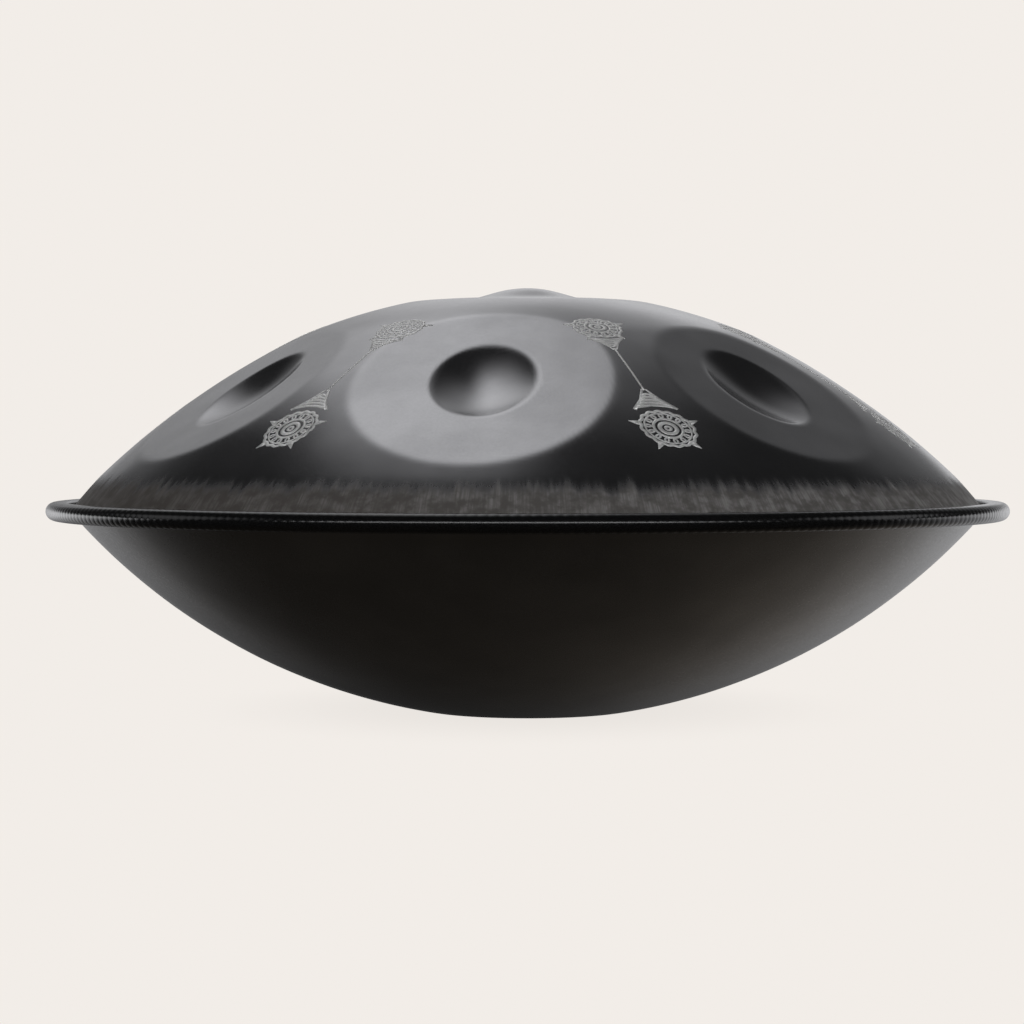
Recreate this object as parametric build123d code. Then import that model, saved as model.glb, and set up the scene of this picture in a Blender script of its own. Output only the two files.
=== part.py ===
"""Handpan: two drawn steel shells glued flange to flange, with a clipped edge trim round the rim.

Frame: +Z up through the raised centre dome, origin in the middle of the resting face (the lip of the
sound port), the largest tone field towards -Y. Millimetres.
"""
from build123d import *
import math
import os

# ---- Driving dimensions -------------------------------------------------------------------------
RIM_DIAMETER = 530.0          # over the edge trim
SHEET = 1.2                   # wall of both shells
GLUE_GAP = 0.8                # adhesive between the flanges
FLANGE_RADIUS = 261.0
BEND_RADIUS = 3.0             # outside radius of the bend between bowl and flange

TOP_SPHERE = 321.5            # outside radius of the playing shell
TOP_RISE = 121.6              # height of that sphere over the glue plane, before the centre is flattened
SHOULDER_CROWN = 440.0        # flatter arc of the dome round the ring of fields
SHOULDER_SINK = 2.0           # its depth under the sphere at its middle
SHOULDER_ANGLE = 35.0         # polar angle of its middle
SHOULDER_ROUND = 180.0        # rounding where it meets the sphere
CENTRE_FIELD_RADIUS = 66.0    # flattened disc round the centre dome
CENTRE_FIELD_CROWN = 1200.0   # its crown radius
CENTRE_DOME_SPHERE = 62.0     # raised dome in the middle
CENTRE_DOME_HEIGHT = 6.4      # its top over the flattened disc
CENTRE_DOME_BLEND = 14.0      # hollow fillet at its foot

# Half widths of the tone fields, equally spaced round the dome from -Y towards +X.
FIELD_HALF_WIDTHS = (67.0, 59.0, 52.0, 48.0, 50.0, 54.0, 59.0)
FIELD_ASPECT = 1.1            # half length down the slope over half width
FIELD_FLATTEN = 1.06          # over 1 the field is slightly hollow down the slope
FIELD_FLATTEST = 8000.0       # largest crown radius across a field
FIELD_OUTER_ANGLE = 45.35     # polar angle on the sphere where every field ends
DIMPLE_RADIUS = 24.5          # half width of a dimple, before its growth with the field
DIMPLE_GROWTH = 0.03          # its growth over the half width of the field
DIMPLE_ASPECT = 1.28
DIMPLE_DEPTH_SHARE = 0.25     # dimple depth over its half width
DIMPLE_SHIFT = 5.5            # dimple centre lies this much uphill of the field centre
DIMPLE_EDGE = 3.0             # rounding of its edge

BOTTOM_SPHERE = 331.0         # outside radius of the bowl
BOTTOM_DEPTH = 116.3          # depth of that sphere under the glue plane, before the port is opened
PORT_RADIUS = 50.0            # inside the neck
PORT_ROLL = 8.0               # outside radius of the roll from bowl to neck
PORT_NECK = 26.0              # end of the neck over the resting face
LIP_FLAT = 0.15               # depth of the narrow flat on the roll, which is the resting face

TRIM_HEIGHT = 9.6
TRIM_DEPTH = 12.0             # from lips to nose
TRIM_LIP_ROUND = 1.2
TRIM_JOINT_GAP = 0.6          # butt joint of the strip, at the back
CLIP_COUNT = 336
CLIP_SHEET = 0.6
CLIP_SHARE = 0.8              # clip width over clip pitch
CLIP_COVER = 0.9              # plastic between clip and flange
CLIP_SETBACK = 1.4            # clip legs end this far short of the lips

# ---- Worked-out values --------------------------------------------------------------------------
ROLL_RING = PORT_RADIUS + PORT_ROLL        # radius at which the roll touches the table
ROLL_CENTRE = math.sqrt((BOTTOM_SPHERE - PORT_ROLL) ** 2 - ROLL_RING ** 2)
LIP_DEPTH = BOTTOM_DEPTH - BOTTOM_SPHERE + ROLL_CENTRE + PORT_ROLL - LIP_FLAT
GLUE_Z = LIP_DEPTH                         # glue plane over the resting face
FLANGE_FACE = GLUE_GAP / 2 + SHEET         # outside face of a flange over the glue plane
TRIM_NOSE = TRIM_HEIGHT / 2
TRIM_RADIUS = RIM_DIAMETER / 2
SHOULDER_BACK = SHOULDER_CROWN - TOP_SPHERE + SHOULDER_SINK   # its centre lies beyond the sphere's centre
FIELD_CLEARANCE = 1.12                     # the hammering tool reaches this far past the field
FAR = 480.0                                # beyond the whole part
BELOW = -20.0                              # under every section of a bowl
PAST_FLANGE = FLANGE_RADIUS + 5.0          # where the inside bodies end, clear of the flange


def box_section(r0, r1, z0, z1):
    """Rectangle given by its sides, in the half section plane."""
    return Pos((r0 + r1) / 2, (z0 + z1) / 2) * Rectangle(r1 - r0, z1 - z0)


def round_corner(section, radius, r, z):
    """The section with its corner nearest to (r, z) rounded."""
    corner = section.vertices().sort_by_distance((r, z, 0))[0]
    return fillet(corner, radius)


def turn(section):
    """Solid of revolution about Z of a half section drawn with r along X and z along Y."""
    return revolve(Plane.XZ * section, Axis.Z)


def bowl_section(sphere, rise, inset, edge_radius):
    """Half section under the outside (inset 0) or inside (inset SHEET) of a bowl, bend and flange.

    The glue plane is z = 0 and the bowl points up.
    """
    flange = FLANGE_FACE - inset
    centre = rise - sphere
    crown = Pos(0, centre) * Circle(sphere - inset) & box_section(0, FAR, flange, FAR)
    foot = math.sqrt((sphere - inset) ** 2 - (flange - centre) ** 2)
    return round_corner(crown + box_section(0, edge_radius, BELOW, flange), BEND_RADIUS + inset, foot, flange)


# ---- Playing shell ------------------------------------------------------------------------------
def dome_section(inset, edge_radius):
    """Half section of the playing shell before hammering: bowl, flattened round the ring of fields."""
    section = bowl_section(TOP_SPHERE, TOP_RISE, inset, edge_radius)
    centre = TOP_RISE - TOP_SPHERE
    middle = math.radians(SHOULDER_ANGLE)
    shoulder = Pos(-SHOULDER_BACK * math.sin(middle), centre - SHOULDER_BACK * math.cos(middle))
    section -= Pos(0, centre) * Circle(TOP_SPHERE - inset + 1) - shoulder * Circle(SHOULDER_CROWN - inset)
    over_square = SHOULDER_CROWN ** 2 - TOP_SPHERE ** 2 - SHOULDER_BACK ** 2
    reach = math.acos(over_square / (2 * TOP_SPHERE * SHOULDER_BACK))
    for polar in (middle - reach, middle + reach):
        crease = (TOP_SPHERE * math.sin(polar), centre + TOP_SPHERE * math.cos(polar))
        section = round_corner(section, SHOULDER_ROUND - inset, *crease)
    return section


def field_frame(direction, polar, height):
    """Plane on the sphere: Z along its normal, X down the slope, origin at the given radius."""
    turn_angle = math.radians(direction)
    tilt = math.radians(polar)
    outwards = Vector(math.sin(turn_angle), -math.cos(turn_angle), 0)
    normal = outwards * math.sin(tilt) + Vector(0, 0, math.cos(tilt))
    down = outwards * math.cos(tilt) - Vector(0, 0, math.sin(tilt))
    return Plane(origin=normal * height + Vector(0, 0, TOP_RISE - TOP_SPHERE), x_dir=down, z_dir=normal)


def flattener(hollow, across, reach):
    """What is planed off a field: a round plug over a barrel, hollow along X and crowned across it."""
    span = 1.3 * reach
    ends = hollow - math.sqrt(hollow ** 2 - span ** 2)
    arc = ThreePointArc((-span, ends), (0, 0), (span, ends))
    base = Polyline((span, ends), (span, -across), (-span, -across), (-span, ends))
    barrel = revolve(Plane.XZ * make_face(arc + base), Axis((0, 0, -across), (1, 0, 0)))
    return Pos(0, 0, reach / 4) * Cylinder(reach, reach) - barrel


def spindle(along, across):
    """Pointed solid with its lowest point at the origin, curved with one radius along X and one across."""
    reach = math.sqrt(along ** 2 - (along - across) ** 2)
    arc = ThreePointArc((-reach, across), (0, 0), (reach, across))
    face = make_face(arc + Line((reach, across), (-reach, across)))
    return revolve(Plane.XZ * face, Axis((0, 0, across), (1, 0, 0)))


def round_new_edges(before, after, radius):
    """Rounds the edges that a cut has made."""
    return fillet(new_edges(before, combined=after), radius)


def hammer_field(body, direction, half_width, inset):
    """Flattens one tone field into the body and sinks its oval dimple."""
    half_length = half_width * FIELD_ASPECT
    sink = FIELD_FLATTEN * half_length ** 2 / (2 * TOP_SPHERE)
    hollow = TOP_SPHERE / (FIELD_FLATTEN - 1)
    crown = 1 / TOP_SPHERE - 2 * (sink - SHOULDER_SINK) / half_width ** 2
    across = 1 / max(crown, 1 / FIELD_FLATTEST)
    polar = FIELD_OUTER_ANGLE - math.degrees(half_length / TOP_SPHERE)
    frame = field_frame(direction, polar, TOP_SPHERE - sink - inset)
    flattened = body - frame * flattener(hollow + inset, across - inset, half_length * FIELD_CLEARANCE)

    dimple = DIMPLE_RADIUS + DIMPLE_GROWTH * half_width
    depth = dimple * DIMPLE_DEPTH_SHARE
    bowl_across = 1 / (2 * depth / dimple ** 2 - 1 / across)
    bowl_along = 1 / (2 * depth / (dimple * DIMPLE_ASPECT) ** 2 + 1 / hollow)
    shift = math.degrees(DIMPLE_SHIFT / TOP_SPHERE)
    bottom = field_frame(direction, polar - shift, TOP_SPHERE - sink - depth - inset)
    dished = flattened - bottom * spindle(bowl_along + inset, bowl_across + inset)
    return round_new_edges(flattened, dished, DIMPLE_EDGE - inset)


def playing_body(inset):
    """Solid under the outside or the inside of the playing shell, glue plane at z = 0."""
    edge = PAST_FLANGE if inset else FLANGE_RADIUS
    body = turn(dome_section(inset, edge))
    step = 360 / len(FIELD_HALF_WIDTHS)
    for i, half_width in enumerate(FIELD_HALF_WIDTHS):
        body = hammer_field(body, step * i, half_width, inset)
    return raise_centre(body, inset)


def raise_centre(body, inset):
    """Flattens the centre field and raises its dome."""
    sink = CENTRE_FIELD_RADIUS ** 2 / 2 * (1 / TOP_SPHERE - 1 / CENTRE_FIELD_CROWN)
    field_top = TOP_RISE - sink - inset
    crown = CENTRE_FIELD_CROWN - inset
    body = body & Pos(0, 0, field_top - crown) * Sphere(crown)
    dome = CENTRE_DOME_SPHERE - inset
    raised = body + Pos(0, 0, field_top + CENTRE_DOME_HEIGHT - dome) * Sphere(dome)
    return round_new_edges(body, raised, CENTRE_DOME_BLEND + inset)


def top_shell():
    """The playing side: one sheet with its centre dome, tone fields, bend and flange."""
    return Pos(0, 0, GLUE_Z) * (playing_body(0) - playing_body(SHEET))


# ---- Bowl with the sound port -------------------------------------------------------------------
def port_section(inset):
    """Half section of the bottom bowl with its port cut and rolled, bowl pointing up."""
    edge = PAST_FLANGE if inset else FLANGE_RADIUS
    section = bowl_section(BOTTOM_SPHERE, BOTTOM_DEPTH, inset, edge)
    hole = PORT_RADIUS + inset
    section -= box_section(0, hole, BELOW, FAR)
    rim = BOTTOM_DEPTH - BOTTOM_SPHERE + math.sqrt((BOTTOM_SPHERE - inset) ** 2 - hole ** 2)
    return round_corner(section, PORT_ROLL - inset, hole, rim)


def bottom_shell():
    """The plain side: one sheet with its sound port, neck, bend and flange."""
    outside = port_section(0) & box_section(0, FAR, BELOW, LIP_DEPTH)
    inside = port_section(SHEET) + box_section(0, ROLL_RING, BELOW, LIP_DEPTH - PORT_NECK)
    return Pos(0, 0, GLUE_Z) * Rot(180, 0, 0) * turn(outside - inside)


# ---- Rim ----------------------------------------------------------------------------------------
def adhesive_ring():
    """Structural glue between the flanges, squeezed out level with their edge."""
    inner = FLANGE_RADIUS - 8.0
    return Pos(0, 0, GLUE_Z) * turn(box_section(inner, FLANGE_RADIUS, -GLUE_GAP / 2, GLUE_GAP / 2))


def clip_section():
    """U of spring steel, half section on the glue plane."""
    nose = TRIM_RADIUS - TRIM_NOSE
    leg = FLANGE_FACE + CLIP_COVER
    inner = TRIM_RADIUS - TRIM_DEPTH + CLIP_SETBACK
    back = leg + CLIP_SHEET
    outside = box_section(inner, nose, -back, back) + Pos(nose, 0) * Circle(back)
    inside = box_section(inner, nose, -leg, leg) + Pos(nose, 0) * Circle(leg)
    return outside - inside


def rim_trim():
    """Ribbed push-on strip round both flanges, hollow where the clips lie."""
    nose = TRIM_RADIUS - TRIM_NOSE
    lips = TRIM_RADIUS - TRIM_DEPTH
    outside = box_section(lips, nose, -TRIM_NOSE, TRIM_NOSE) + Pos(nose, 0) * Circle(TRIM_NOSE)
    outside = fillet(outside.vertices().group_by(Axis.X)[0], TRIM_LIP_ROUND)
    slot = box_section(lips, FLANGE_RADIUS, -FLANGE_FACE, FLANGE_FACE)
    strip = turn(outside - slot - clip_section())
    joint = Pos(0, TRIM_RADIUS, 0) * Box(TRIM_JOINT_GAP, 2 * TRIM_RADIUS, 2 * TRIM_HEIGHT)
    return Pos(0, 0, GLUE_Z) * (strip - joint)


def trim_clips():
    """The separate steel clips that make the trim grip, one under each rib."""
    pitch = 360 / CLIP_COUNT
    clip = revolve(Plane.XZ * clip_section(), Axis.Z, pitch * CLIP_SHARE)
    turned = [Rot(0, 0, pitch * (i + 0.5 - CLIP_SHARE / 2)) * clip for i in range(CLIP_COUNT)]
    return Pos(0, 0, GLUE_Z) * Compound(children=turned)


if __name__ == "__main__":
    os.makedirs("parts", exist_ok=True)
    nodes = {
        "top_shell": top_shell(),
        "bottom_shell": bottom_shell(),
        "adhesive_ring": adhesive_ring(),
        "rim_trim": rim_trim(),
        "trim_clips": trim_clips(),
    }
    for name, solid in nodes.items():
        export_step(solid, f"parts/{name}.step")
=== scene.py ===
"""Handpan: the shells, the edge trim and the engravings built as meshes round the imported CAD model."""
import math

import bpy
import numpy as np
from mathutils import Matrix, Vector


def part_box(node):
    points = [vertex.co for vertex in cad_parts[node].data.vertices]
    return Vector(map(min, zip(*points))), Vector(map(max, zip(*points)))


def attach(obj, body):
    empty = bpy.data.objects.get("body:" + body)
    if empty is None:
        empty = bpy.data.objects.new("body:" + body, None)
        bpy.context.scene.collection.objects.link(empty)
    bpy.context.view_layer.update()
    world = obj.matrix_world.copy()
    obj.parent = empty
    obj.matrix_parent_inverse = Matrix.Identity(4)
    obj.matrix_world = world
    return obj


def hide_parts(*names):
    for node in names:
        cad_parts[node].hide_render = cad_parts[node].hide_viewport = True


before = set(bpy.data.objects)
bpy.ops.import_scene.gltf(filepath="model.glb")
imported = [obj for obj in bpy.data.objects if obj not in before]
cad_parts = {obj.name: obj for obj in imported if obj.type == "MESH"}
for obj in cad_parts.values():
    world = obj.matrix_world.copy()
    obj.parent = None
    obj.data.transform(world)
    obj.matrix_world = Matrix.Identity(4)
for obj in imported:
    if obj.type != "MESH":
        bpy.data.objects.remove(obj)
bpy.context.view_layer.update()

# ---- Driving dimensions, millimetres unless said otherwise --------------------------------------
MM = 0.001
NO_HIT = 1e4                  # distance given to a ray that misses, far beyond any real meeting
SHEET = 1.2
BEND_RADIUS = 3.0

TOP_SPHERE = 321.5
TOP_RISE = 121.6
SHOULDER_SINK = 2.0           # the dome is flatter round the ring of fields, by this much at most
SHOULDER_CROWN = 440.0
SHOULDER_ANGLE = 35.0
CENTRE_FIELD_RADIUS = 66.0
CENTRE_FIELD_CROWN = 1200.0
CENTRE_DOME_SPHERE = 62.0
CENTRE_DOME_HEIGHT = 6.4
FIELD_HALF_WIDTHS = (67, 59, 52, 48, 50, 54, 59)   # equally spaced, from the front one towards +X
FIELD_ASPECT = 1.1
FIELD_FLATTEN = 1.06
FIELD_OUTER_ANGLE = 45.35
DIMPLE_RADIUS = 24.5          # half width of a dimple, before its growth with the field
DIMPLE_GROWTH = 0.03
DIMPLE_ASPECT = 1.28
DIMPLE_DEPTH_SHARE = 0.23
DIMPLE_SHIFT = 5.5            # its centre lies this much uphill of the field's centre
DIMPLE_ROW = 62.0             # the dimples lie about this far uphill of the outer ends of the fields
FIELD_BLEND = 0.35            # softness of the ridge round a field
DIMPLE_BLEND = 0.6            # softness of a dimple's edge
CENTRE_DOME_BLEND = 5.0
SHOULDER_BLEND = 0.3

BOTTOM_SPHERE = 331.0
BOTTOM_DEPTH = 116.3
PORT_RADIUS = 50.0
PORT_ROLL = 8.0
PORT_NECK = 26.0              # end of the neck over the floor

TRIM_DEPTH = 12.0
TRIM_LIP_ROUND = 1.2
TRIM_SLOT = 1.6               # half height of the slot that holds the flanges
RIB_COUNT = 336
RIB_HEIGHT = 0.12
JOINT_GAP = 0.6

TOP_COLUMNS = 576             # mesh columns and rings of the shells
TOP_RINGS = 136
INNER_RINGS = 18
BOTTOM_COLUMNS = 480
BOTTOM_RINGS = 120
RIB_STEPS = 6                 # mesh steps in one rib
HAMMER_MARKS = 0.03           # unevenness left in the sheet

LOWER_ROSETTE_RADIUS = 207.5  # distance of the lower rosettes from the axis
LOWER_ROSETTE = 14.5          # radius of the rosettes
UPPER_ROSETTE = 13.0
PENDANT_LENGTH = 98.0         # between the two rosettes, along the shell
GAP_ROW = 60.0                # the gaps are measured this far uphill of the outer ends of the fields
PENDANT_LEAN = 2.5            # degrees the upper rosette is turned towards the larger neighbouring field
PETALS = 14
SPIKES = 5                    # round a rosette, one of them left out under the cap
CHAIN_WIDTH = 1.1
ENGRAVED_LIFT = 0.08
BAND_HEIGHT = 17.0            # brushed band over the glue plane
BAND_TUFTS = 12.0             # how much its upper edge goes up and down
BAND_FINE_TUFTS = 4.0
BAND_FADE = (-7.0, 4.0)       # it fades out between these heights round its upper edge
BAND_RADIUS = 240.0           # radius at which its streaks have their true width
BAND_STREAK = 0.06            # change of a streak down the slope, over its change round the dome

CAMERA_DISTANCE = 1500.0
CAMERA_AZIMUTH = 7.6          # degrees from -Y towards +X
CAMERA_OVER_RIM = 39.8
AIM_OVER_RIM = -1.6           # the camera looks at this point beside the middle of the rim
AIM_RIGHT = -8.5
LENS = 94.5

# Light, seen from the drum in the main camera's directions. Sideways is degrees to the camera's right
# of the upright plane through the camera and the drum; tilt is degrees round that plane, 0 straight
# behind the drum, 90 overhead, 180 at the camera, negative below. Each panel fades in between its first
# two angles and out between its last two.
PALE = (0.887, 0.847, 0.807, 1)
AMBIENT = 0.032
PANELS = (
    # strength, sideways, tilt
    (1.00, (-28, -8, -7, 5), (17, 56, 64, 96)),        # tall panel over the drum, and its soft sides
    (0.38, (-28, -17, 0, 25), (10, 15, 53, 81)),
    (0.08, (-44, -30, -16, -4), (4, 12, 28, 44)),
    (0.17, (1, 11, 21, 41), (6, 17, 32, 53)),
    (0.42, (-10, -2, 7, 18), (1, 7, 22, 32)),
    (0.35, (-90, -89, 89, 90), (-14, -8, 5, 15)),      # bright horizon
    (0.88, (0, 30, 80, 90), (-58, 5, 6, 14)),          # low light from the right and the left
    (1.70, (-90, -72, -50, -6), (-44, -4, 2, 10)),
    (0.14, (-5, 34, 89, 90), (-96, -40, -20, -6)),
    (6.00, (-60, -35, 25, 60), (155, 159, 163, 168)),  # strip light and soft boxes on the camera's side
    (0.90, (50, 65, 84, 90), (30, 60, 110, 150)),
    (0.60, (-90, -84, -65, -50), (30, 60, 110, 150)),
)
FLOOR_SIZE = 12.0             # metres
FLOOR_SHADE = (0.05, 0.20, 0.92)   # contact shadow: metres where it is full and where it ends, and its tone

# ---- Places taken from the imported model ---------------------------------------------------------
glue_low, glue_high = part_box("adhesive_ring")
trim_low, trim_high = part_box("rim_trim")
GLUE_Z = (glue_low.z + glue_high.z) / 2 / MM
GLUE_GAP = (glue_high.z - glue_low.z) / MM
FLANGE_RADIUS = round(glue_high.x / MM)
TRIM_RADIUS = round(trim_high.x / MM)
TRIM_NOSE = round(trim_high.z - trim_low.z, 4) / 2 / MM
TOP_CENTRE = GLUE_Z + TOP_RISE - TOP_SPHERE
FLANGE_FACE = GLUE_GAP / 2 + SHEET


# ---- Mesh helpers -------------------------------------------------------------------------------
def make_piece(name, points, faces, material, node=None):
    """Smooth shaded piece from points in millimetres, riding on the only body."""
    mesh = bpy.data.meshes.new(name)
    mesh.from_pydata((np.asarray(points) * MM).tolist(), [], faces)
    mesh.polygons.foreach_set("use_smooth", np.ones(len(mesh.polygons), bool))
    mesh.materials.append(material)
    mesh.update()
    piece = bpy.data.objects.new(name, mesh)
    bpy.context.scene.collection.objects.link(piece)
    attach(piece, "root")
    if node:
        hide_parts(node)
    return piece


def ring_faces(rings, columns):
    """Quads between consecutive rings of a rings x columns grid of points."""
    faces = []
    for i in range(rings - 1):
        for j in range(columns):
            k = (j + 1) % columns
            faces.append((i * columns + j, (i + 1) * columns + j, (i + 1) * columns + k, i * columns + k))
    return faces


def fan(centre, first, columns, outwards=True):
    """Triangles from one point to a ring of points."""
    triangles = []
    for j in range(columns):
        k = (j + 1) % columns
        triangles.append((centre, first + j, first + k) if outwards else (centre, first + k, first + j))
    return triangles


def smooth_min(a, b, blend):
    """Lower of two heights, with the crease between them rounded."""
    near = np.clip(blend - np.abs(a - b), 0, None) / blend
    return np.minimum(a, b) - near ** 2 * blend / 4


def ripple(points, seed, wavelength, waves):
    """Gentle unevenness of hammered sheet, about -1 to 1, the same at every run."""
    draw = np.random.default_rng(seed)
    total = np.zeros(points.shape[:-1])
    for _ in range(waves):
        direction = draw.normal(size=3)
        direction *= 2 * math.pi / wavelength / draw.uniform(0.6, 1.6) / np.linalg.norm(direction)
        total += np.sin(points @ direction + draw.uniform(0, 2 * math.pi))
    return total / math.sqrt(waves)


# ---- Playing shell ------------------------------------------------------------------------------
def directions(polar, azimuth):
    """Unit vectors from the sphere's centre. Angles in radians, azimuth from -Y towards +X."""
    flat = np.sin(polar)
    return np.stack([flat * np.sin(azimuth), -flat * np.cos(azimuth), np.cos(polar) + 0 * azimuth], -1)


def distance_to_paraboloid(rays, frame_axes, height, bend_x, bend_y):
    """Where rays from the sphere's centre meet a shallow bowl or cap over the plane at the given height."""
    x_axis, y_axis, normal = frame_axes
    up = rays @ normal
    curve = bend_x * (rays @ x_axis) ** 2 + bend_y * (rays @ y_axis) ** 2
    curve = np.where(np.abs(curve) < 1e-12, 1e-12, curve)
    under_root = up ** 2 + 4 * curve * height
    found = (np.sqrt(np.clip(under_root, 0, None)) - up) / (2 * curve)
    meets = (up > 0.3) & (under_root > 0)
    return np.where(meets, found, NO_HIT)


def field_axes(direction, polar):
    """Down-slope, sideways and normal unit vectors of a field. Degrees."""
    a, p = math.radians(direction), math.radians(polar)
    outwards = np.array([math.sin(a), -math.cos(a), 0])
    up = np.array([0, 0, 1.0])
    normal = outwards * math.sin(p) + up * math.cos(p)
    down = outwards * math.cos(p) - up * math.sin(p)
    return down, np.cross(normal, down), normal


def field_numbers(half_width):
    """Polar angle, sink, and curvatures along and across one field, so that its edge lies on the dome."""
    half_length = half_width * FIELD_ASPECT
    polar = FIELD_OUTER_ANGLE - math.degrees(half_length / TOP_SPHERE)
    sink = FIELD_FLATTEN * half_length ** 2 / (2 * TOP_SPHERE)
    along = (1 - FIELD_FLATTEN) / TOP_SPHERE
    across = 2 * (SHOULDER_SINK - sink) / half_width ** 2 + 1 / TOP_SPHERE
    return polar, sink, along, across


def field_places():
    """Direction in degrees and half width of each field."""
    step = 360 / len(FIELD_HALF_WIDTHS)
    return [(step * i, half_width) for i, half_width in enumerate(FIELD_HALF_WIDTHS)]


def distance_to_arc(cosine, centre, radius):
    """Where rays meet a circle or sphere centred this far along the line they make the angle with."""
    inside = radius ** 2 - centre ** 2 * (1 - cosine ** 2)
    return np.where(inside > 0, centre * cosine + np.sqrt(np.clip(inside, 0, None)), 0)


def playing_radius(polar, azimuth):
    """Distance of the playing surface from its sphere's centre."""
    rays = directions(polar, azimuth)
    shoulder = distance_to_arc(np.cos(polar - math.radians(SHOULDER_ANGLE)),
                               TOP_SPHERE - SHOULDER_SINK - SHOULDER_CROWN, SHOULDER_CROWN)
    radius = smooth_min(np.full(rays.shape[:-1], TOP_SPHERE), shoulder + 0 * azimuth, SHOULDER_BLEND)
    for direction, half_width in field_places():
        tilt, sink, along, across = field_numbers(half_width)
        flat = distance_to_paraboloid(
            rays, field_axes(direction, tilt), TOP_SPHERE - sink, along / 2, across / 2)
        radius = smooth_min(radius, flat, FIELD_BLEND)
        dimple = DIMPLE_RADIUS + DIMPLE_GROWTH * half_width
        depth = dimple * DIMPLE_DEPTH_SHARE
        shift = math.degrees(DIMPLE_SHIFT / TOP_SPHERE)
        hollow_x = -(depth / (dimple * DIMPLE_ASPECT) ** 2 - along / 2)
        hollow_y = -(depth / dimple ** 2 - across / 2)
        dish = distance_to_paraboloid(
            rays, field_axes(direction, tilt - shift), TOP_SPHERE - sink - depth, hollow_x, hollow_y)
        radius = smooth_min(radius, dish, DIMPLE_BLEND)
    return centre_radius(rays, radius)


def centre_radius(rays, radius):
    """Flattens the centre field and raises its dome."""
    upright = field_axes(0, 0)
    sink = CENTRE_FIELD_RADIUS ** 2 / 2 * (1 / TOP_SPHERE - 1 / CENTRE_FIELD_CROWN)
    bend = 1 / (2 * CENTRE_FIELD_CROWN)
    flat = distance_to_paraboloid(rays, upright, TOP_SPHERE - sink, bend, bend)
    radius = smooth_min(radius, flat, 2 * FIELD_BLEND)
    centre = TOP_SPHERE - sink + CENTRE_DOME_HEIGHT - CENTRE_DOME_SPHERE
    dome = distance_to_arc(rays @ upright[2], centre, CENTRE_DOME_SPHERE)
    return -smooth_min(-radius, -dome, CENTRE_DOME_BLEND)


def bend_places(sphere, rise):
    """Centre of the bend between bowl and flange, and the polar angle where it starts (glue plane at 0)."""
    height = FLANGE_FACE + BEND_RADIUS
    radius = math.sqrt((sphere + BEND_RADIUS) ** 2 - (height - rise + sphere) ** 2)
    return radius, height, math.asin(radius / (sphere + BEND_RADIUS))


def bend_profile(sphere, rise, inset, steps):
    """Points (r, z) along the bend, from the bowl to the start of the flange."""
    radius, height, polar = bend_places(sphere, rise)
    turns = np.linspace(polar, 0, steps)
    size = BEND_RADIUS + inset
    return np.stack([radius - size * np.sin(turns), height - size * np.cos(turns)], -1)


def spread(low, high, count, peaks, width, strength):
    """Values from low to high, closer together round the peaks."""
    fine = np.linspace(low, high, 4000)
    density = 1 + sum(strength * np.exp(-((fine - p) / width) ** 2) for p in peaks)
    way = np.concatenate([[0], np.cumsum((density[1:] + density[:-1]) / 2)])
    return np.interp(np.linspace(0, way[-1], count), way, fine)


def revolve_profile(profile, azimuth):
    """Rings of points from (r, z) pairs."""
    r = profile[:, 0, None]
    z = profile[:, 1, None] + 0 * azimuth[None]
    return np.stack([r * np.sin(azimuth), -r * np.cos(azimuth), z], -1)


def shell_mesh(outside, inside):
    """Closed sheet from two stacks of rings, both ordered from the middle to the edge."""
    columns = outside.shape[1]
    points = np.concatenate([outside.reshape(-1, 3), inside[::-1].reshape(-1, 3)])
    faces = ring_faces(len(outside) + len(inside), columns)
    return points, faces


def hammered_radius(polar, azimuth):
    """Playing surface with the unevenness that hammering leaves, fading out at the bend."""
    fade = np.clip((bend_places(TOP_SPHERE, TOP_RISE)[2] - polar) / 0.06, 0, 1)
    marks = ripple(directions(polar, azimuth) * TOP_SPHERE, 3, 34, 40)
    return playing_radius(polar, azimuth) + HAMMER_MARKS * fade * marks


def top_shell_rings():
    """Outside and inside rings of the playing shell, its two poles left open."""
    polar_end = bend_places(TOP_SPHERE, TOP_RISE)[2]
    dimple_row = math.radians(FIELD_OUTER_ANGLE) - DIMPLE_ROW / TOP_SPHERE
    dimple_columns = [math.radians(direction) for direction, _ in field_places()] + [2 * math.pi]
    azimuth = spread(0, 2 * math.pi, TOP_COLUMNS + 1, dimple_columns, 0.13, 0.9)[:-1]
    centre = np.array([0, 0, TOP_CENTRE])
    stacks = []
    for inset, rings in ((0, TOP_RINGS), (SHEET, INNER_RINGS)):
        polar = spread(0.004, polar_end, rings, [dimple_row], 0.11, 1.1)
        grid_polar, grid_azimuth = np.meshgrid(polar, azimuth, indexing="ij")
        rays = directions(grid_polar, grid_azimuth)
        radius = hammered_radius(grid_polar, grid_azimuth) - inset
        dome = centre + radius[..., None] * rays
        edge = bend_profile(TOP_SPHERE, TOP_RISE, inset, 8)[1:]
        edge = np.concatenate([edge, [[FLANGE_RADIUS, FLANGE_FACE - inset]]]) + [0, GLUE_Z]
        stacks.append(np.concatenate([dome, revolve_profile(edge, azimuth)]))
    return stacks


def top_shell(material):
    """The playing shell as one closed sheet."""
    outside, inside = top_shell_rings()
    points, faces = shell_mesh(outside, inside)
    columns = outside.shape[1]
    poles = [outside[0].mean(0), inside[0].mean(0)]
    faces += fan(len(points), 0, columns)
    faces += fan(len(points) + 1, len(points) - columns, columns, outwards=False)
    return make_piece("top_shell_skin", np.concatenate([points, poles]), faces, material,
                      "top_shell")


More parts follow.
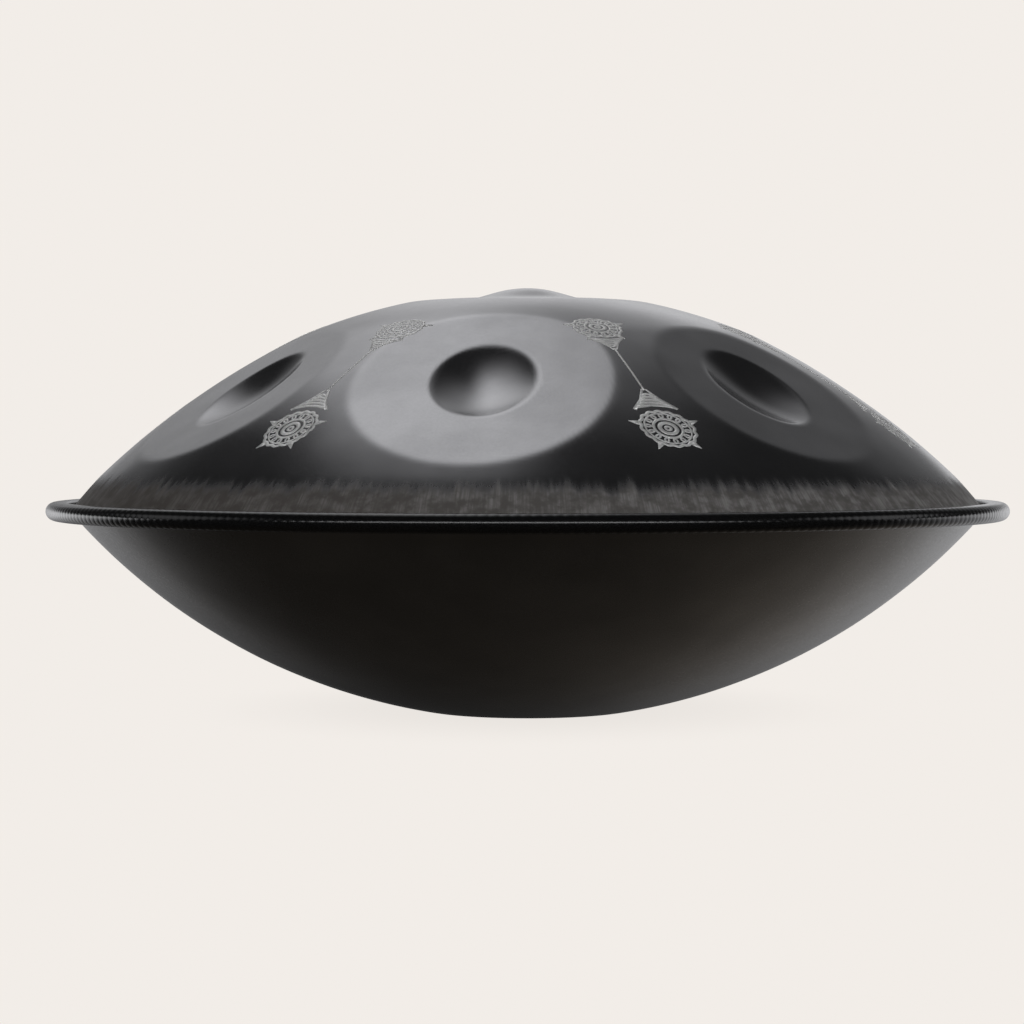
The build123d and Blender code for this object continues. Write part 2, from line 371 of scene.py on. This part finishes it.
# ---- Bowl with the sound port -------------------------------------------------------------------
def port_profile(inset):
    """Points (r, z) from the end of the neck over the roll and up the bowl to the flange's edge.

    The glue plane is z = 0 and the bowl points up: bottom_shell turns it over.
    """
    ring = PORT_RADIUS + PORT_ROLL
    roll_z = BOTTOM_DEPTH - BOTTOM_SPHERE + math.sqrt((BOTTOM_SPHERE - PORT_ROLL) ** 2 - ring ** 2)
    neck_end = GLUE_Z - PORT_NECK
    start = math.asin(ring / (BOTTOM_SPHERE - PORT_ROLL))
    size = PORT_ROLL - inset
    neck = [[PORT_RADIUS + inset, z] for z in np.linspace(neck_end, roll_z, 6)[:-1]]
    turns = np.linspace(-math.pi / 2, start, 14)
    roll_top = np.minimum(roll_z + size * np.cos(turns), GLUE_Z - inset)   # flat where it rests
    roll = np.stack([ring + size * np.sin(turns), roll_top], -1)
    end = bend_places(BOTTOM_SPHERE, BOTTOM_DEPTH)[2]
    polar = np.linspace(start, end, BOTTOM_RINGS if inset == 0 else INNER_RINGS)[1:]
    radius = BOTTOM_SPHERE - inset
    bowl = np.stack([radius * np.sin(polar), BOTTOM_DEPTH - BOTTOM_SPHERE + radius * np.cos(polar)], -1)
    edge = bend_profile(BOTTOM_SPHERE, BOTTOM_DEPTH, inset, 8)[1:]
    return np.concatenate([neck, roll, bowl, edge, [[FLANGE_RADIUS, FLANGE_FACE - inset]]])


def bottom_shell(material):
    """The bowl with its rolled port, as one closed sheet."""
    azimuth = np.linspace(0, 2 * math.pi, BOTTOM_COLUMNS + 1)[:-1]
    stacks = []
    for inset in (0, SHEET):
        rings = revolve_profile(port_profile(inset), azimuth)
        from_axis = np.hypot(rings[..., 0], rings[..., 1])
        fade = np.clip((from_axis - PORT_RADIUS - 3 * PORT_ROLL) / 30, 0, 1)
        fade *= np.clip((FLANGE_RADIUS - 14 - from_axis) / 20, 0, 1)
        rings[..., 2] += HAMMER_MARKS * fade * ripple(rings, 8, 30, 40)
        rings[..., 1:] *= -1
        rings[..., 2] += GLUE_Z
        stacks.append(rings)
    points, faces = shell_mesh(*stacks)
    rows, columns = len(stacks[0]) + len(stacks[1]), BOTTOM_COLUMNS
    for j in range(columns):
        k = (j + 1) % columns
        faces.append(((rows - 1) * columns + j, j, k, (rows - 1) * columns + k))
    return make_piece("bottom_shell_skin", points, faces, material, "bottom_shell")


# ---- Edge trim ----------------------------------------------------------------------------------
def arc_points(centre, radius, start, end, count):
    """Points on an arc, angles in degrees, both ends included."""
    angles = np.radians(np.linspace(start, end, count))
    return np.stack([centre[0] + radius * np.cos(angles), centre[1] + radius * np.sin(angles)], -1)


def trim_section():
    """Closed (r, z) outline of the strip round the glue plane, and how far each point follows the ribs."""
    nose = TRIM_RADIUS - TRIM_NOSE
    lips = TRIM_RADIUS - TRIM_DEPTH
    lip = TRIM_LIP_ROUND
    leg = np.linspace(nose, lips + lip, 4)[1:-1]
    upper = [
        arc_points((nose, 0), TRIM_NOSE, 0, 90, 13),
        np.stack([leg, np.full_like(leg, TRIM_NOSE)], -1),
        arc_points((lips + lip, TRIM_NOSE - lip), lip, 90, 180, 5),
        [[lips, TRIM_SLOT], [(lips + FLANGE_RADIUS) / 2, TRIM_SLOT], [FLANGE_RADIUS + 0.2, TRIM_SLOT]],
    ]
    upper = np.concatenate(upper)
    lower = upper[:0:-1] * [1, -1]
    outline = np.concatenate([upper, lower])
    along_nose = np.clip((outline[:, 0] - lips - 2 * lip) / (nose - lips - 2 * lip), 0, 1)
    follows = np.where(np.abs(outline[:, 1]) > TRIM_SLOT + 0.01, along_nose, 0)
    follows[outline[:, 0] > nose] = 1
    return outline, follows


def rim_trim(material):
    """Ribbed push-on strip with its butt joint at the back."""
    outline, follows = trim_section()
    nose = np.array([TRIM_RADIUS - TRIM_NOSE, 0])
    outwards = outline - nose
    outwards[outline[:, 0] < nose[0], 0] = 0
    outwards /= np.maximum(np.linalg.norm(outwards, axis=1, keepdims=True), 1e-9)
    gap = JOINT_GAP / 2 / TRIM_RADIUS
    steps = RIB_COUNT * RIB_STEPS
    azimuth = math.pi + gap + np.linspace(0, 2 * math.pi - 2 * gap, steps + 1)
    swell = np.abs(np.cos(math.pi * np.arange(steps + 1) / RIB_STEPS)) ** 0.6
    groove = RIB_HEIGHT * (1 - swell)
    sections = outline[None] - outwards[None] * follows[None, :, None] * groove[:, None, None]
    r, z = sections[..., 0], sections[..., 1] + GLUE_Z
    points = np.stack([r * np.sin(azimuth[:, None]), -r * np.cos(azimuth[:, None]), z], -1)
    count = len(outline)
    faces = ring_faces(steps + 1, count)
    faces.append(tuple(range(count)))
    faces.append(tuple(reversed(range(steps * count, (steps + 1) * count))))
    return make_piece("rim_trim_strip", points.reshape(-1, 3), faces, material, "rim_trim")


# ---- Engraved pendants between the fields -------------------------------------------------------
def on_shell(azimuth, polar, lift):
    """Points on the playing surface, lifted a little off it."""
    radius = hammered_radius(polar, azimuth) + lift
    return np.array([0, 0, TOP_CENTRE]) + radius[..., None] * directions(polar, azimuth)


def ribbon(line, width, closed):
    """Left and right borders of a drawn line of n x 2 points. width is one number or n numbers."""
    line = np.asarray(line, float)
    before = np.roll(line, 1, 0) if closed else np.concatenate([line[:1], line[:-1]])
    after = np.roll(line, -1, 0) if closed else np.concatenate([line[1:], line[-1:]])
    along = after - before
    along /= np.maximum(np.linalg.norm(along, axis=1, keepdims=True), 1e-9)
    half = np.broadcast_to(np.asarray(width) / 2, len(line))[:, None]
    side = np.stack([-along[:, 1], along[:, 0]], -1) * half
    return line + side, line - side


def circle(centre, radius, count=32, waves=0, swing=0.0):
    """Closed line round a centre, with an optional number of scallops."""
    t = np.linspace(0, 2 * math.pi, count + 1)[:-1]
    r = radius + swing * np.cos(waves * t)
    return np.stack([centre[0] + r * np.sin(t), centre[1] - r * np.cos(t)], -1)


def turned(line, centre, angle):
    """A line drawn round (0, 0) with +y outwards, turned by an angle and moved to a centre."""
    c, s = math.cos(angle), math.sin(angle)
    return np.asarray(line, float) @ np.array([[c, s], [-s, c]]) + centre


def petal(inner, outer, width):
    """Closed almond between two radii along +y."""
    t = np.linspace(0, math.pi, 7)
    middle, half = (inner + outer) / 2, (outer - inner) / 2
    right = np.stack([width / 2 * np.sin(t), middle - half * np.cos(t)], -1)
    return np.concatenate([right, (right * [-1, 1])[-2:0:-1]])


def rosette(centre, size):
    """Lines of a round ornament: eye, rings, petals and short points. Each is (line, width, closed)."""
    lines = [
        (circle(centre, 0.10 * size, 16), 0.09 * size, True),
        (circle(centre, 0.29 * size, 32), 0.15 * size, True),
        (circle(centre, 0.50 * size, 48), 0.10 * size, True),
        (circle(centre, 0.80 * size, 96), 0.06 * size, True),
        (circle(centre, 0.93 * size, 96, 16, 0.03 * size), 0.12 * size, True),
    ]
    for i in range(PETALS):
        leaf = turned(petal(0.57 * size, 0.78 * size, 0.13 * size), centre, 2 * math.pi * i / PETALS)
        lines.append((leaf, 0.07 * size, True))
    spike = np.array([[0, 0.95], [0, 1.12], [0, 1.32]]) * size
    for i in range(1, SPIKES):
        around = turned(spike, centre, math.pi + 2 * math.pi * i / SPIKES)
        lines.append((around, np.array([0.26, 0.15, 0.03]) * size, False))
    return lines


def cap(centre, size):
    """Bell over a rosette, towards the middle of the shell: arches that get smaller, ending in a point."""
    lines = []
    for i, reach in enumerate((0.72, 0.60, 0.46, 0.33, 0.21)):
        t = np.linspace(-1, 1, 13)
        height = (1.14 + 0.17 * i) * size
        arch = np.stack([reach * size * t, -height - 0.14 * size * np.cos(t * math.pi / 2)], -1) + centre
        lines.append((arch, 0.12 * size, False))
    for side in (-1, 1):
        edge = np.array([[0.78 * side, -1.05], [0.34 * side, -1.62], [0.06 * side, -2.25]]) * size + centre
        lines.append((edge, np.array([0.14, 0.12, 0.08]) * size, False))
    return lines


def pendant_lines(length):
    """A whole pendant, hanging outwards from its upper rosette. y is outwards, 0 at the lower rosette."""
    low, high = np.array([0.0, 0.0]), np.array([0.0, -length])
    lines = rosette(low, LOWER_ROSETTE) + cap(low, LOWER_ROSETTE)
    lines += rosette(high, UPPER_ROSETTE)
    upper_cap = cap(low, 0.9 * UPPER_ROSETTE)
    lines += [(turned(line, high, math.pi), width, closed) for line, width, closed in upper_cap]
    chain = np.stack([np.zeros(9), np.linspace(-length + 1.9 * UPPER_ROSETTE, -2.2 * LOWER_ROSETTE, 9)], -1)
    lines.append((chain, CHAIN_WIDTH, False))
    return lines


def pendant(name, azimuth, lean, material):
    """One engraving between two fields, a skin of bright metal along its lines. Angles in degrees."""
    points, faces = [], []
    lowest = math.asin(LOWER_ROSETTE_RADIUS / TOP_SPHERE)
    corners = ((0, ENGRAVED_LIFT), (1, ENGRAVED_LIFT), (1, -ENGRAVED_LIFT), (0, -ENGRAVED_LIFT))
    for line, width, closed in pendant_lines(PENDANT_LENGTH):
        borders = ribbon(line, width, closed)
        count = len(line)
        start = sum(len(p) for p in points)
        for side, lift in corners:
            x, y = borders[side].T
            polar = lowest + y / TOP_SPHERE
            middle = azimuth - lean * y / PENDANT_LENGTH
            points.append(on_shell(np.radians(middle) - x / (TOP_SPHERE * np.sin(polar)), polar, lift))
        for a, b in ((0, 1), (1, 2), (2, 3), (3, 0)):
            for i in range(count if closed else count - 1):
                k = (i + 1) % count
                corner = (a * count + i, b * count + i, b * count + k, a * count + k)
                faces.append(tuple(start + n for n in corner))
        if not closed:
            faces.append(tuple(start + n * count for n in reversed(range(4))))
            faces.append(tuple(start + n * count + count - 1 for n in range(4)))
    return make_piece(name, np.concatenate(points), faces, material)


# ---- Materials ----------------------------------------------------------------------------------
class Shader:
    """Node tree of a material or of the world, with short calls for the nodes it is built from."""

    def __init__(self, tree, material=None):
        self.tree = tree
        self.material = material

    def node(self, kind, *inputs, out=0, **settings):
        """Adds a node and returns an output socket. inputs fill its sockets in order, None leaves one."""
        made = self.tree.nodes.new(kind)
        for key, value in settings.items():
            setattr(made, key, value)
        for socket, value in zip(made.inputs, inputs):
            self.feed(socket, value)
        return made.outputs[out] if made.outputs else None

    def feed(self, socket, value):
        """Links or sets one input."""
        if isinstance(value, bpy.types.NodeSocket):
            self.tree.links.new(value, socket)
        elif value is not None:
            socket.default_value = value

    def maths(self, operation, a, b=None, c=None):
        return self.node("ShaderNodeMath", a, b, c, operation=operation)

    def ramp(self, value, low, high, to_low=0.0, to_high=1.0):
        """Smooth step of a value from one range to another."""
        return self.node("ShaderNodeMapRange", value, low, high, to_low, to_high,
                         interpolation_type="SMOOTHSTEP")

    def mix(self, factor, a, b):
        """Mixed colour."""
        return self.node("ShaderNodeMixRGB", factor, a, b)

    def blend(self, factor, a, b):
        """Mixed number."""
        return self.node("ShaderNodeMapRange", factor, 0.0, 1.0, a, b)

    def noise(self, place, size, detail=3.0, rough=0.55):
        """Noise with features of about the given size in metres."""
        made = self.tree.nodes.new("ShaderNodeTexNoise")
        self.feed(made.inputs["Vector"], place)
        made.inputs["Scale"].default_value = 1 / size
        made.inputs["Detail"].default_value = detail
        made.inputs["Roughness"].default_value = rough
        return made.outputs["Fac"]

    def surface(self, color, roughness, metallic, bump=None, bump_mm=0.02, **more):
        """Ends the tree with a principled surface."""
        shader = self.tree.nodes.new("ShaderNodeBsdfPrincipled")
        self.feed(shader.inputs["Base Color"], color)
        self.feed(shader.inputs["Roughness"], roughness)
        self.feed(shader.inputs["Metallic"], metallic)
        for name, value in more.items():
            self.feed(shader.inputs[name.replace("_", " ")], value)
        if bump is not None:
            bumped = self.tree.nodes.new("ShaderNodeBump")
            bumped.inputs["Distance"].default_value = bump_mm * MM
            self.feed(bumped.inputs["Height"], bump)
            self.feed(shader.inputs["Normal"], bumped.outputs[0])
        self.node("ShaderNodeOutputMaterial", shader.outputs["BSDF"])
        return self.material

    def place(self):
        """Position in the scene."""
        return self.node("ShaderNodeNewGeometry", out=0)

    def axes(self, vector):
        """x, y and z of a vector."""
        parts = self.tree.nodes.new("ShaderNodeSeparateXYZ")
        self.feed(parts.inputs[0], vector)
        return parts.outputs

    def scaled(self, vector, factor):
        """Vector times a number."""
        return self.node("ShaderNodeVectorMath", vector, None, None, factor, operation="SCALE")


def new_material(name):
    """Empty node material, ready to be filled."""
    material = bpy.data.materials.new(name)
    material.use_nodes = True
    material.node_tree.nodes.clear()
    return Shader(material.node_tree, material)


def grey(level, warm=0.0):
    """Neutral colour, a little brown when warm is positive."""
    return (level * (1 + warm), level, level * (1 - warm), 1)


def brushed_band(shader, place):
    """Mask of the bare brushed band at the foot of the dome, and its streaks."""
    x, y, z = shader.axes(place)
    height = shader.maths("SUBTRACT", z, GLUE_Z * MM)
    outwards = shader.node("ShaderNodeCombineXYZ", x, y, 0.0)
    around = shader.node("ShaderNodeVectorMath", outwards, operation="NORMALIZE")
    ring = shader.scaled(around, BAND_RADIUS * MM)
    upwards = shader.node("ShaderNodeCombineXYZ", 0.0, 0.0, height)
    slow = shader.scaled(upwards, BAND_STREAK)
    streak_place = shader.node("ShaderNodeVectorMath", ring, slow, operation="ADD")
    streaks = shader.noise(streak_place, 0.0011, 4.0, 0.6)
    tufts = shader.noise(ring, 0.0055, 2.0, 0.5)
    fine = shader.noise(ring, 0.0014, 2.0, 0.5)
    top = shader.maths("MULTIPLY_ADD", tufts, BAND_TUFTS * MM, (BAND_HEIGHT - BAND_TUFTS / 2) * MM)
    top = shader.maths("MULTIPLY_ADD", fine, BAND_FINE_TUFTS * MM, top)
    above = shader.maths("SUBTRACT", height, top)
    inside = shader.ramp(above, BAND_FADE[0] * MM, BAND_FADE[1] * MM, 1.0, 0.0)
    return shader.maths("POWER", inside, 2.0), streaks


def bare_steel(shader, place, streaks):
    """Colour of the brushed band: streaky, patchy, and browner towards -X."""
    patches = shader.noise(place, 0.008, 3.0, 0.6)
    bare = shader.mix(shader.ramp(streaks, 0.3, 0.7), grey(0.22, 0.05), grey(0.42, 0.03))
    bare = shader.mix(shader.ramp(patches, 0.35, 0.65), bare, grey(0.17, 0.06))
    # the band turns darker and browner towards -X
    browner_towards_minus_x = shader.ramp(shader.axes(place)[0], -0.22, 0.16, 0.65, 0.0)
    return shader.mix(browner_towards_minus_x, bare, grey(0.05, 0.25))


def nitrided_steel():
    """Satin dark steel of the playing shell, bare and brushed at its foot."""
    shader = new_material("nitrided_steel")
    place = shader.place()
    cloud = shader.noise(place, 0.045, 3.0)
    speckle = shader.noise(place, 0.0012, 2.0, 0.6)
    tone = shader.ramp(cloud, 0.3, 0.7, 0.26, 0.31)
    color = shader.node("ShaderNodeCombineColor", tone, tone, shader.maths("MULTIPLY", tone, 1.02))
    band, streaks = brushed_band(shader, place)
    color = shader.mix(band, color, bare_steel(shader, place, streaks))
    roughness = shader.ramp(speckle, 0.3, 0.7, 0.17, 0.22)
    roughness = shader.blend(band, roughness, 0.55)
    metallic = shader.blend(band, 1.0, 0.45)
    bump = shader.maths("MULTIPLY_ADD", shader.maths("MULTIPLY", streaks, band), 0.6, speckle)
    return shader.surface(color, roughness, metallic, bump, 0.008)


def dark_steel():
    """Nearly black nitrided steel of the bowl."""
    shader = new_material("dark_steel")
    place = shader.place()
    cloud = shader.noise(place, 0.06, 3.0)
    speckle = shader.noise(place, 0.0012, 2.0, 0.6)
    tone = shader.ramp(cloud, 0.3, 0.7, 0.20, 0.25)
    color = shader.node("ShaderNodeCombineColor", tone, tone, tone)
    return shader.surface(color, shader.ramp(speckle, 0.3, 0.7, 0.27, 0.34), 1.0, speckle, 0.006)


def engraved_steel():
    """Bright matt lines of the engravings."""
    shader = new_material("engraved_steel")
    place = shader.place()
    grain = shader.noise(place, 0.0009, 3.0, 0.6)
    tone = shader.ramp(grain, 0.3, 0.7, 0.8, 0.92)
    color = shader.node("ShaderNodeCombineColor", tone, tone, shader.maths("MULTIPLY", tone, 0.98))
    return shader.surface(color, 0.4, 0.5, grain, 0.02)


def trim_rubber():
    """Black soft PVC with a slight gloss."""
    shader = new_material("trim_rubber")
    grain = shader.noise(shader.place(), 0.0008, 3.0)
    tone = shader.ramp(grain, 0.3, 0.7, 0.003, 0.008)
    color = shader.node("ShaderNodeCombineColor", tone, tone, tone)
    gloss = shader.ramp(grain, 0.3, 0.7, 0.14, 0.22)
    return shader.surface(color, gloss, 0.0, grain, 0.01, Specular_IOR_Level=0.4)


def adhesive():
    """Black structural glue."""
    shader = new_material("adhesive")
    grain = shader.noise(shader.place(), 0.003, 3.0)
    return shader.surface(shader.mix(grain, grey(0.02), grey(0.05)), 0.5, 0.0, grain, 0.05)


def spring_steel():
    """Plain spring strip of the clips."""
    shader = new_material("spring_steel")
    grain = shader.noise(shader.place(), 0.0015, 4.0)
    return shader.surface(shader.mix(grain, grey(0.35), grey(0.5)), 0.35, 1.0, grain, 0.01)


# ---- Studio -------------------------------------------------------------------------------------
def studio_direction(azimuth, elevation):
    """Unit vector from the object. Azimuth 0 is straight away from the camera, positive to its right."""
    a = math.radians(azimuth - CAMERA_AZIMUTH)
    e = math.radians(elevation)
    return Vector((math.sin(a) * math.cos(e), math.cos(a) * math.cos(e), math.sin(e)))


def window(shader, value, edges):
    """1 between the middle two edges, 0 outside the outer two, smooth between."""
    rise = shader.ramp(value, edges[0], edges[1])
    fall = shader.ramp(value, edges[2], edges[3], 1.0, 0.0)
    return shader.maths("MULTIPLY", rise, fall)


def studio_world():
    """Pale behind the drum for the camera, and soft panels in a dark room for everything else."""
    world = bpy.data.worlds.new("studio")
    world.use_nodes = True
    world.node_tree.nodes.clear()
    shader = Shader(world.node_tree)
    looking = shader.node("ShaderNodeTexCoord", out=0)

    def along(direction):
        """How far the looked-at direction goes along another one."""
        towards = tuple(direction)
        return shader.node("ShaderNodeVectorMath", looking, towards, operation="DOT_PRODUCT", out=1)

    back, up = along(studio_direction(0, 0)), along(studio_direction(0, 90))
    degree = 180 / math.pi
    sideways = shader.maths("MULTIPLY", shader.maths("ARCSINE", along(studio_direction(90, 0))), degree)
    tilt = shader.maths("MULTIPLY", shader.maths("ARCTAN2", up, back), degree)
    total = AMBIENT
    for strength, across, over in PANELS:
        panel = shader.maths("MULTIPLY", window(shader, sideways, across), window(shader, tilt, over))
        total = shader.maths("MULTIPLY_ADD", panel, strength, total)
    tint = shader.mix(shader.ramp(up, -0.85, -0.3), (1.0, 0.86, 0.72, 1), (0.98, 0.98, 1.0, 1))
    room = shader.node("ShaderNodeBackground", tint, total)
    backdrop = shader.node("ShaderNodeBackground", PALE, 1.0)
    camera_ray = shader.node("ShaderNodeLightPath", out=0)
    shader.node("ShaderNodeOutputWorld", shader.node("ShaderNodeMixShader", camera_ray, room, backdrop))
    bpy.context.scene.world = world


def studio_floor():
    """Plain pale floor under the drum, with the faint shadow where it stands."""
    mesh = bpy.data.meshes.new("floor")
    half = FLOOR_SIZE / 2
    corners = [(-half, -half, 0), (half, -half, 0), (half, half, 0), (-half, half, 0)]
    mesh.from_pydata(corners, [], [(0, 1, 2, 3)])
    floor = bpy.data.objects.new("floor", mesh)
    bpy.context.scene.collection.objects.link(floor)
    floor.visible_glossy = False
    floor.visible_diffuse = False
    shader = new_material("floor")
    away = shader.node("ShaderNodeVectorMath", shader.place(), operation="LENGTH", out=1)
    near, far, tone = FLOOR_SHADE
    pale = shader.node("ShaderNodeEmission", PALE, shader.ramp(away, near, far, tone, 1.0))
    shader.node("ShaderNodeOutputMaterial", pale)
    mesh.materials.append(shader.material)


def studio_camera():
    """Camera a little over the rim, turned towards the right of the largest field."""
    camera = bpy.data.cameras.new("camera")
    camera.lens = LENS
    camera.sensor_width = 36.0
    camera.clip_start, camera.clip_end = 0.05, 40.0
    holder = bpy.data.objects.new("camera", camera)
    a = math.radians(CAMERA_AZIMUTH)
    height = (GLUE_Z + CAMERA_OVER_RIM) * MM
    holder.location = (CAMERA_DISTANCE * MM * math.sin(a), -CAMERA_DISTANCE * MM * math.cos(a), height)
    aim = Vector((AIM_RIGHT * math.cos(a), AIM_RIGHT * math.sin(a), GLUE_Z + AIM_OVER_RIM)) * MM
    holder.rotation_euler = (holder.location - aim).to_track_quat("Z", "Y").to_euler()
    bpy.context.scene.collection.objects.link(holder)
    bpy.context.scene.camera = holder


def pendant_places():
    """Middle of the gap between each field and the next, and the lean towards the larger of the two."""
    ring = TOP_SPHERE * math.sin(math.radians(FIELD_OUTER_ANGLE) - GAP_ROW / TOP_SPHERE)
    fields = field_places()
    step = 360 / len(fields)
    places = []
    for (here, half_width), (_, next_half_width) in zip(fields, fields[1:] + fields[:1]):
        larger = half_width - next_half_width
        middle = here + step / 2 + math.degrees(larger / 2 / ring)
        places.append((middle, -math.copysign(PENDANT_LEAN, larger)))
    return places


# ---- Scene --------------------------------------------------------------------------------------
steel = nitrided_steel()
engraved = engraved_steel()
top_shell(steel)
bottom_shell(dark_steel())
rim_trim(trim_rubber())
for number, (azimuth, lean) in enumerate(pendant_places(), 1):
    pendant(f"pendant_engraving_{number}", azimuth, lean, engraved)
for node, material in (("adhesive_ring", adhesive()), ("trim_clips", spring_steel())):
    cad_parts[node].data.materials.clear()
    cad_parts[node].data.materials.append(material)

studio_world()
studio_floor()
studio_camera()
bpy.context.scene.view_settings.view_transform = "Standard"
